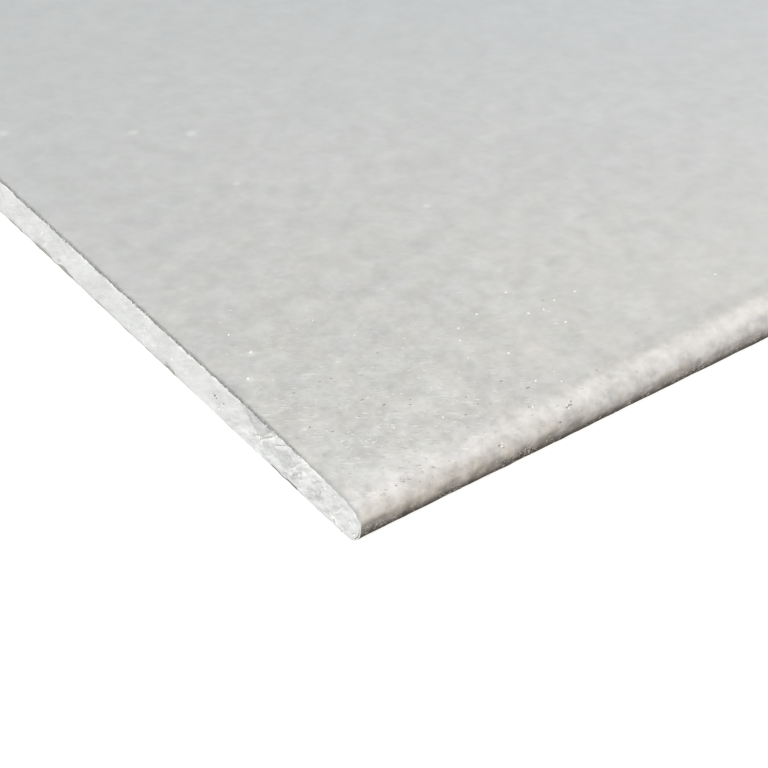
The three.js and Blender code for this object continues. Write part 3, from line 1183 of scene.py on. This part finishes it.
def make_crumbs(gypsum):
    """Crumbs, dark bits and flecks on the paper, crumbs on the sawn ends, and dark bits of painted
    shade in the near end's pits.
    """
    rng = np.random.default_rng(23)
    piece = Piece()
    for listed, slot, sunk, longest in ((FACE_CRUMBS, 4, 0, 1.6), (FACE_BITS, 3, 0.25, 2.4)):
        for from_cut, inboard, size in listed:
            place = (from_cut * MM - HALF_LENGTH, inboard * MM - HALF_WIDTH,
                     face_height(inboard * MM) - sunk * size * MM)
            long = rng.uniform(1, longest)
            add_crumb(piece, rng, place, (0, 0, 1), PAPER_BIT_SHARE * size * MM, slot, long)
    line = edge_outline(0)[::-1]
    for listed, slot in ((SIDE_CRUMBS, 4), (SIDE_BITS, 3)):
        for from_cut, level, size in listed:
            inboard, _, *normal = (np.interp(level * MM, line[:, 1], column) for column in line.T)
            place = (from_cut * MM - HALF_LENGTH, inboard - HALF_WIDTH, level * MM)
            add_crumb(piece, rng, place, (0, *normal), PAPER_BIT_SHARE * size * MM, slot, 1.6)
    strew_flecks(piece)
    for listed, slot in ((END_CRUMBS, 2), (PIT_SHADE_BITS, 1)):
        for from_corner, level, size in listed:
            place = (END_BIT_DEPTH - HALF_LENGTH, from_corner * MM - HALF_WIDTH, level * MM)
            add_crumb(piece, rng, place, (-1, 0, 0), END_BIT_SHARE * size * MM, slot)
    for end in each_way(CUT_CRUMBS):
        near = end < 0 and rng.random() < CUT_IN_VIEW
        reach = VIEW_REACH if near else 2 * HALF_WIDTH - 12 * MM
        inboard = rng.uniform(12 * MM, reach)
        size = rng.uniform(0.12, 0.36) * MM
        place = (end * (HALF_LENGTH - rng.uniform(0.1, 0.3) * MM), inboard - HALF_WIDTH,
                 face_height(inboard) - rng.uniform(0.65, 1.25) * MM)
        add_crumb(piece, rng, place, (end, 0, 0.5), size, long=rng.uniform(1, 2.5))
    others = (
        ("pit_shade", PIT_SHADE_COLOUR, 0.3), ("crumb", CRUMB_COLOUR, 0.5),
        ("old_pulp", PULP_COLOUR, 0.5), ("raised_pulp", RAISED_COLOUR, 0.5),
        ("pale_fleck", PALE_FLECK_COLOUR, 0.5), ("grey_fleck", GREY_FLECK_COLOUR, 0.5),
    )
    materials = [gypsum] + [one_colour(*other) for other in others]
    return piece.make("plaster_crumbs", materials, sharp_angle=180)


def add_fibre(piece, rng, root, along, outward, length, slot=0):
    """A thin curved fibre that leaves the surface at a low angle."""
    along, outward = np.asarray(along, float), np.asarray(outward, float)
    side = np.cross(along, outward)
    share = np.linspace(0, 1, FIBRE_STEPS + 1)[:, None]
    rise = rng.uniform(0.02, 0.22) * np.sin(math.pi * share * rng.uniform(0.5, 1))
    curl = rng.uniform(-2.5, 2.5) * share
    onward = np.sin(curl + LEAST_CURL) / (curl + LEAST_CURL)
    sideways = (1 - np.cos(curl)) / (np.abs(curl) + LEAST_CURL)
    path = root + length * (onward * share * along + rise * outward + sideways * share * side)
    angle = np.linspace(0, 2 * math.pi, FIBRE_SIDES, endpoint=False)[None, :, None]
    ring = np.cos(angle) * outward + np.sin(angle) * side
    thin = FIBRE_RADIUS * (1.1 - share[:, :, None])
    numbers = piece.add(path[:, None, :] + ring * thin)
    piece.tube(numbers, slot)
    piece.face(numbers[0], slot)
    piece.face(numbers[-1], slot)


def make_fibres():
    """Paper fibres raised along the long edges and the two cuts."""
    rng = np.random.default_rng(31)
    piece = Piece()
    line = edge_outline(0)
    for side in each_way(EDGE_FIBRES):
        reach = EDGE_REACH if side < 0 and rng.random() < EDGE_IN_VIEW else 2 * HALF_LENGTH
        x = rng.uniform(1 * MM, reach - 1 * MM) - HALF_LENGTH
        low = rng.random() < LOW_SHARE
        if side < 0 and low and rng.random() < FRAYED_SHARE:
            x = rng.uniform(*FRAYED) - HALF_LENGTH
        row = rng.integers(*(LOW_ROWS if low else HIGH_ROWS))
        inboard, z, normal_y, normal_z = line[row]
        outward = np.array([0, normal_y * -side, normal_z])
        turn = rng.uniform(-1.2, 1.2)
        down = np.cross(outward, (1, 0, 0))
        along = math.cos(turn) * np.array([rng.choice((-1, 1)), 0, 0]) + math.sin(turn) * down
        root = np.array([x, side * (HALF_WIDTH - inboard), z])
        length = rng.uniform(0.5, 1.8 if low else 1.4) * MM
        slot = int(rng.random() < (0.3 if low else 0.1))
        add_fibre(piece, rng, root, along, outward, length, slot)
    for end in each_way(CUT_FIBRES):
        reach = VIEW_REACH if end < 0 and rng.random() < CUT_IN_VIEW else 2 * HALF_WIDTH
        inboard = rng.uniform(8 * MM, reach - 8 * MM)
        root = np.array([end * (HALF_LENGTH - 0.1 * MM), inboard - HALF_WIDTH,
                         face_height(inboard) - rng.uniform(0, 0.35) * MM])
        lean = rng.uniform(-0.8, 0.8)
        along = np.array([0, math.cos(lean), math.sin(lean)]) * rng.choice((-1, 1))
        add_fibre(piece, rng, root, along, (end, 0, 0), rng.uniform(0.3, 1.1) * MM)
    materials = [one_colour("fibre", FIBRE_COLOUR, 3), one_colour("dark_fibre", PULP_COLOUR, 3)]
    return piece.make("paper_fibres", materials, sharp_angle=180)


# ---- The floor and the light ----

FLOOR_SIZE = 60
FLOOR_DROP = 0.05 * MM
FLOOR_INSET = 11 * MM
FLOOR_GLOW = 0.85
FLOOR_SEEN = 0.3
FLOOR_THROWN = 0.08
SKY = 0.5
SKY_COLOUR = (0.863, 1, 1.087)
WHITE = (1, 1, 1, 1)
KEY_FROM = Vector((-0.788, -0.229, 0.572))
# Power 1 lights a white surface that faces the key to full white.
KEY_POWER = 0.787
KEY_SPREAD = 30
GLOW_PLACE = Vector((400, -600, 450)) * MM
GLOW_AIM = Vector((50, 20, 0)) * MM
GLOW_SIZE = 300 * MM
GLOW_WATTS = 4.1
GLOW_COLOUR = (1, 0.755, 0.485)


def floor_material():
    """White where it is looked at, darker in what it throws back, and clear from below."""
    n = new_material("studio_floor")

    def matt(share):
        return n.first("ShaderNodeBsdfDiffuse", {"Color": (share, share, share, 1)})

    glow = n.first("ShaderNodeEmission", {"Color": WHITE, "Strength": FLOOR_GLOW})
    white = n.first("ShaderNodeAddShader", {0: matt(FLOOR_SEEN), 1: glow})
    top = n.first("ShaderNodeMixShader", {0: n.looked_at(), 1: matt(FLOOR_THROWN), 2: white})
    clear = n.first("ShaderNodeBsdfTransparent")
    back = n.add("ShaderNodeNewGeometry").outputs["Backfacing"]
    both = n.first("ShaderNodeMixShader", {0: back, 1: top, 2: clear})
    n.add("ShaderNodeOutputMaterial", {"Surface": both})
    return n.material


def make_floor():
    """A wide floor, open under the middle of the sheet so that its back can be seen."""
    piece = Piece()
    x, y = [(-FLOOR_SIZE, FLOOR_INSET - half, half - FLOOR_INSET, FLOOR_SIZE)
            for half in (HALF_LENGTH, HALF_WIDTH)]
    numbers = piece.add([[(px, py, -FLOOR_DROP) for py in y] for px in x])
    for row in range(3):
        for column in range(3):
            if (row, column) != (1, 1):
                piece.grid(numbers[row: row + 2, column: column + 2])
    floor = piece.make("floor", [floor_material()])


def make_world():
    world = bpy.data.worlds.new("studio")
    world.use_nodes = True
    n = Nodes(world.node_tree)
    light = (*(SKY * share for share in SKY_COLOUR), 1)
    colour = n.mix(n.looked_at(), light, WHITE)
    sky = n.first("ShaderNodeBackground", {"Color": colour, "Strength": 1})
    n.add("ShaderNodeOutputWorld", {"Surface": sky})
    bpy.context.scene.world = world


def make_key():
    """A soft sun from the left."""
    data = bpy.data.lights.new("key", "SUN")
    data.energy = KEY_POWER * math.pi
    data.angle = math.radians(KEY_SPREAD)
    aimed("key", data, (0, 0, 0), -KEY_FROM)


def make_glow():
    """A weak, warm lamp over the near corner."""
    data = bpy.data.lights.new("corner_glow", "AREA")
    data.shape = "DISK"
    data.size = GLOW_SIZE
    data.energy = GLOW_WATTS
    data.color = GLOW_COLOUR
    lamp = aimed("corner_glow", data, corner + GLOW_PLACE, GLOW_AIM - GLOW_PLACE)
    lamp.visible_camera = False


make_floor()
make_world()
make_key()
make_glow()
bpy.context.scene.view_settings.view_transform = "Standard"

# ---- Assembly ----

gypsum = plaster()
ply = paper_ply()
for built, node, slot in (
    (make_face_paper(ply), "face_paper", "face_paper"),
    (make_core(gypsum), "gypsum_core", "gypsum"),
    (make_back_paper(ply), "back_paper", "back_paper"),
    (make_crumbs(gypsum), None, "gypsum"),
    (make_fibres(), None, "face_paper"),
):
    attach(built, "root")
    if node:
        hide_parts(node)
